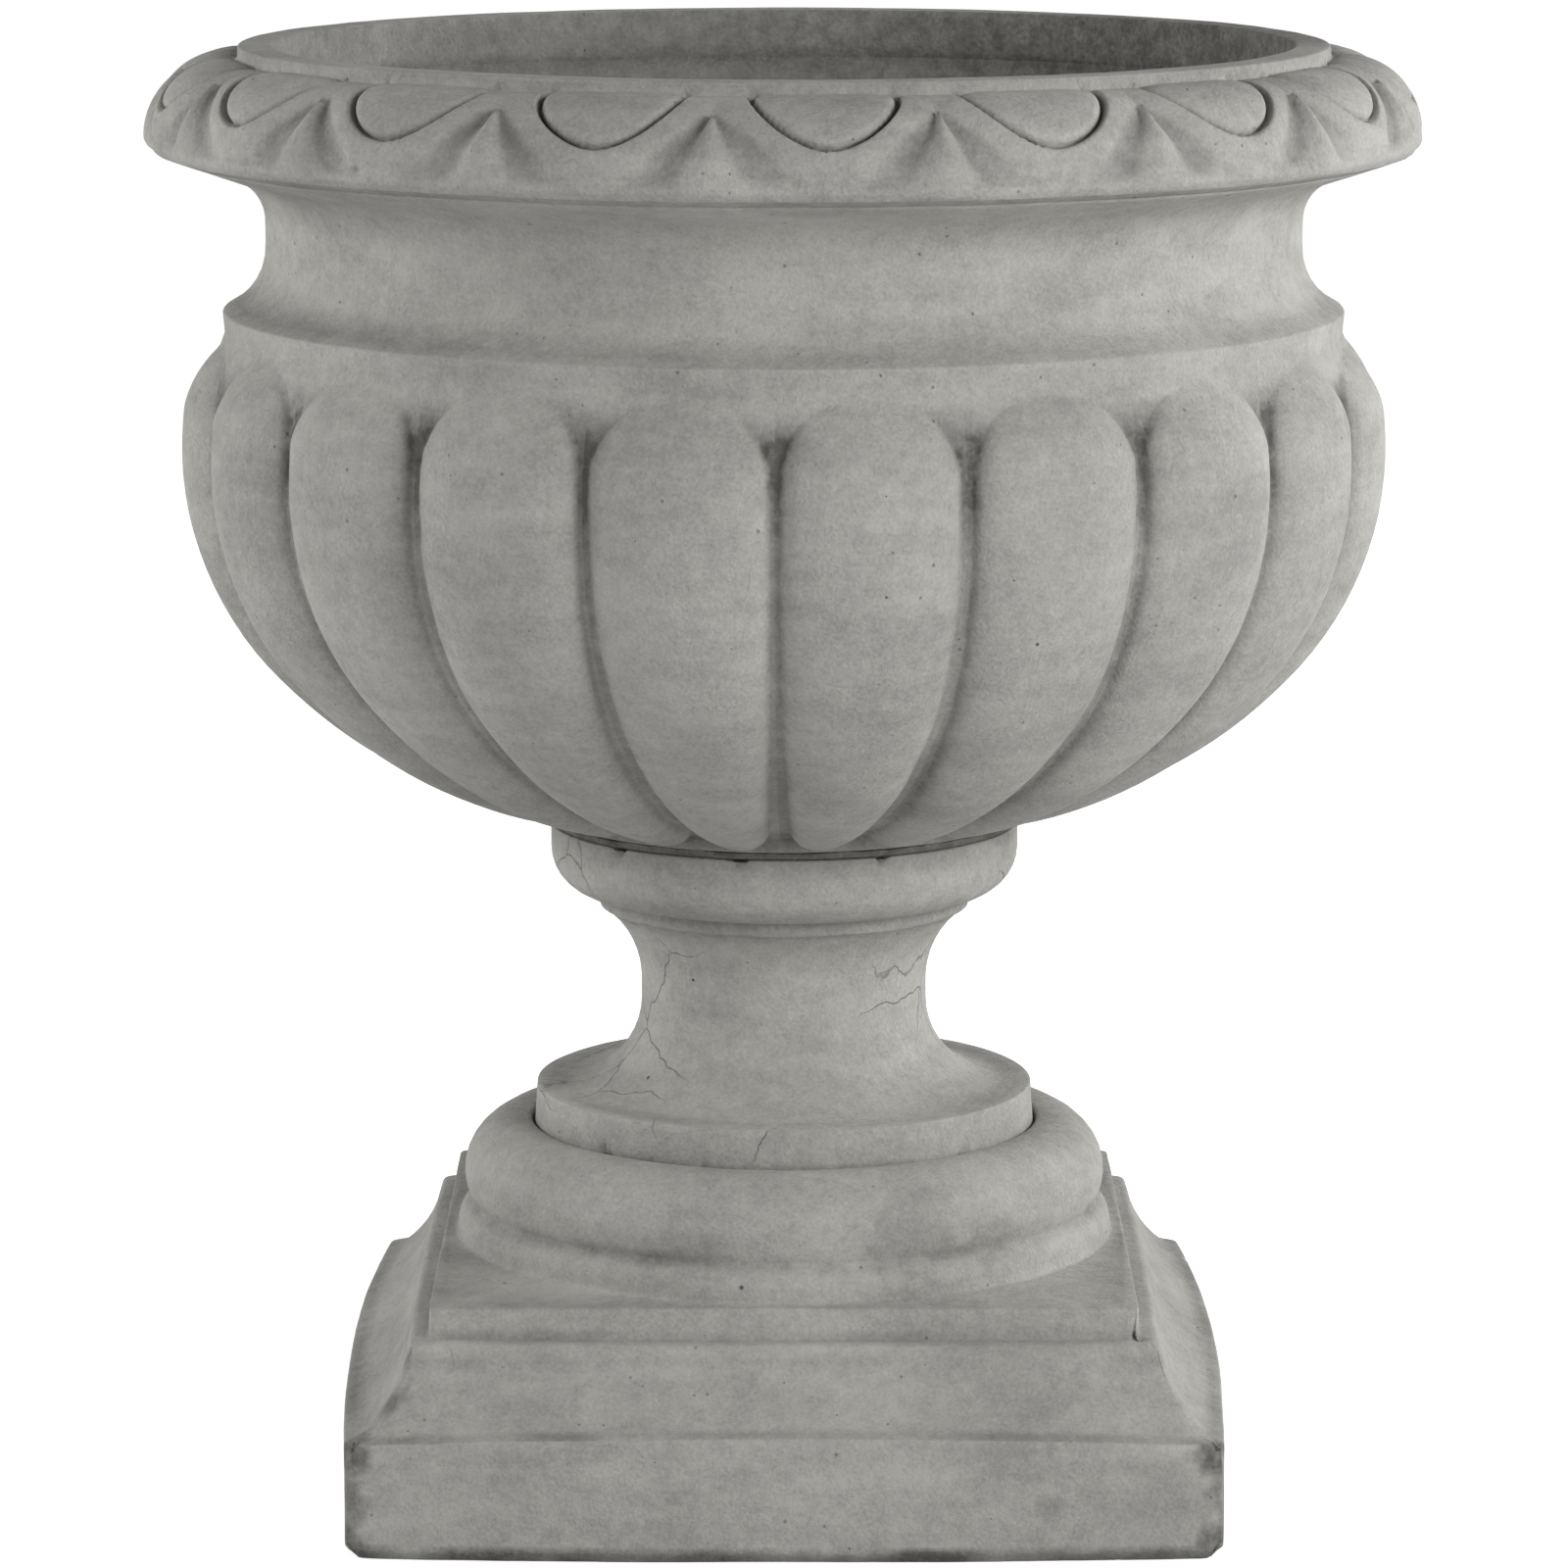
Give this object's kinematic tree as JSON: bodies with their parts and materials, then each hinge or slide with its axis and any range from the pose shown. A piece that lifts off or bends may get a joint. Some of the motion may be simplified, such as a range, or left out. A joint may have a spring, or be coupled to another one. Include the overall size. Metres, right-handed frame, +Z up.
{
  "type": "urn planter",
  "caption": "Cast-stone garden urn planter: gadrooned bowl with egg-and-dart rim on a turned stem and square plinth, bolted through its drain bore.",
  "frame": {"origin": "on the ground, under the middle of the square plinth, on the upright axis of the urn", "axes": "+Z up along the axis of the turned castings; the square plinth's sides face -Y (front), +X, +Y and -X"},
  "size_m": [0.5988, 0.5986, 0.6779],
  "materials": {
    "cast_stone": "fine-grained warm grey cast stone, matt, lightly weathered with pinholes and worn arrises",
    "mortar": "raked lime-cement mortar, matt",
    "stainless_steel": "plain rolled and machined stainless steel, dull",
    "pad_rubber": "black rubber pad, matt"
  },
  "bodies": {
    "root": {"plinth": "cast_stone", "foot_mortar_bed": "mortar", "pedestal_stem": "cast_stone", "bowl_mortar_bed": "mortar", "bowl": "cast_stone", "tie_rod": "stainless_steel", "bowl_bridge_pads": "pad_rubber", "bowl_bridge_bar": "stainless_steel", "bowl_washer": "stainless_steel", "bowl_nut": "stainless_steel", "plinth_bridge_pads": "pad_rubber", "plinth_bridge_bar": "stainless_steel", "plinth_washer": "stainless_steel", "plinth_nut": "stainless_steel"}
  },
  "joints": []
}
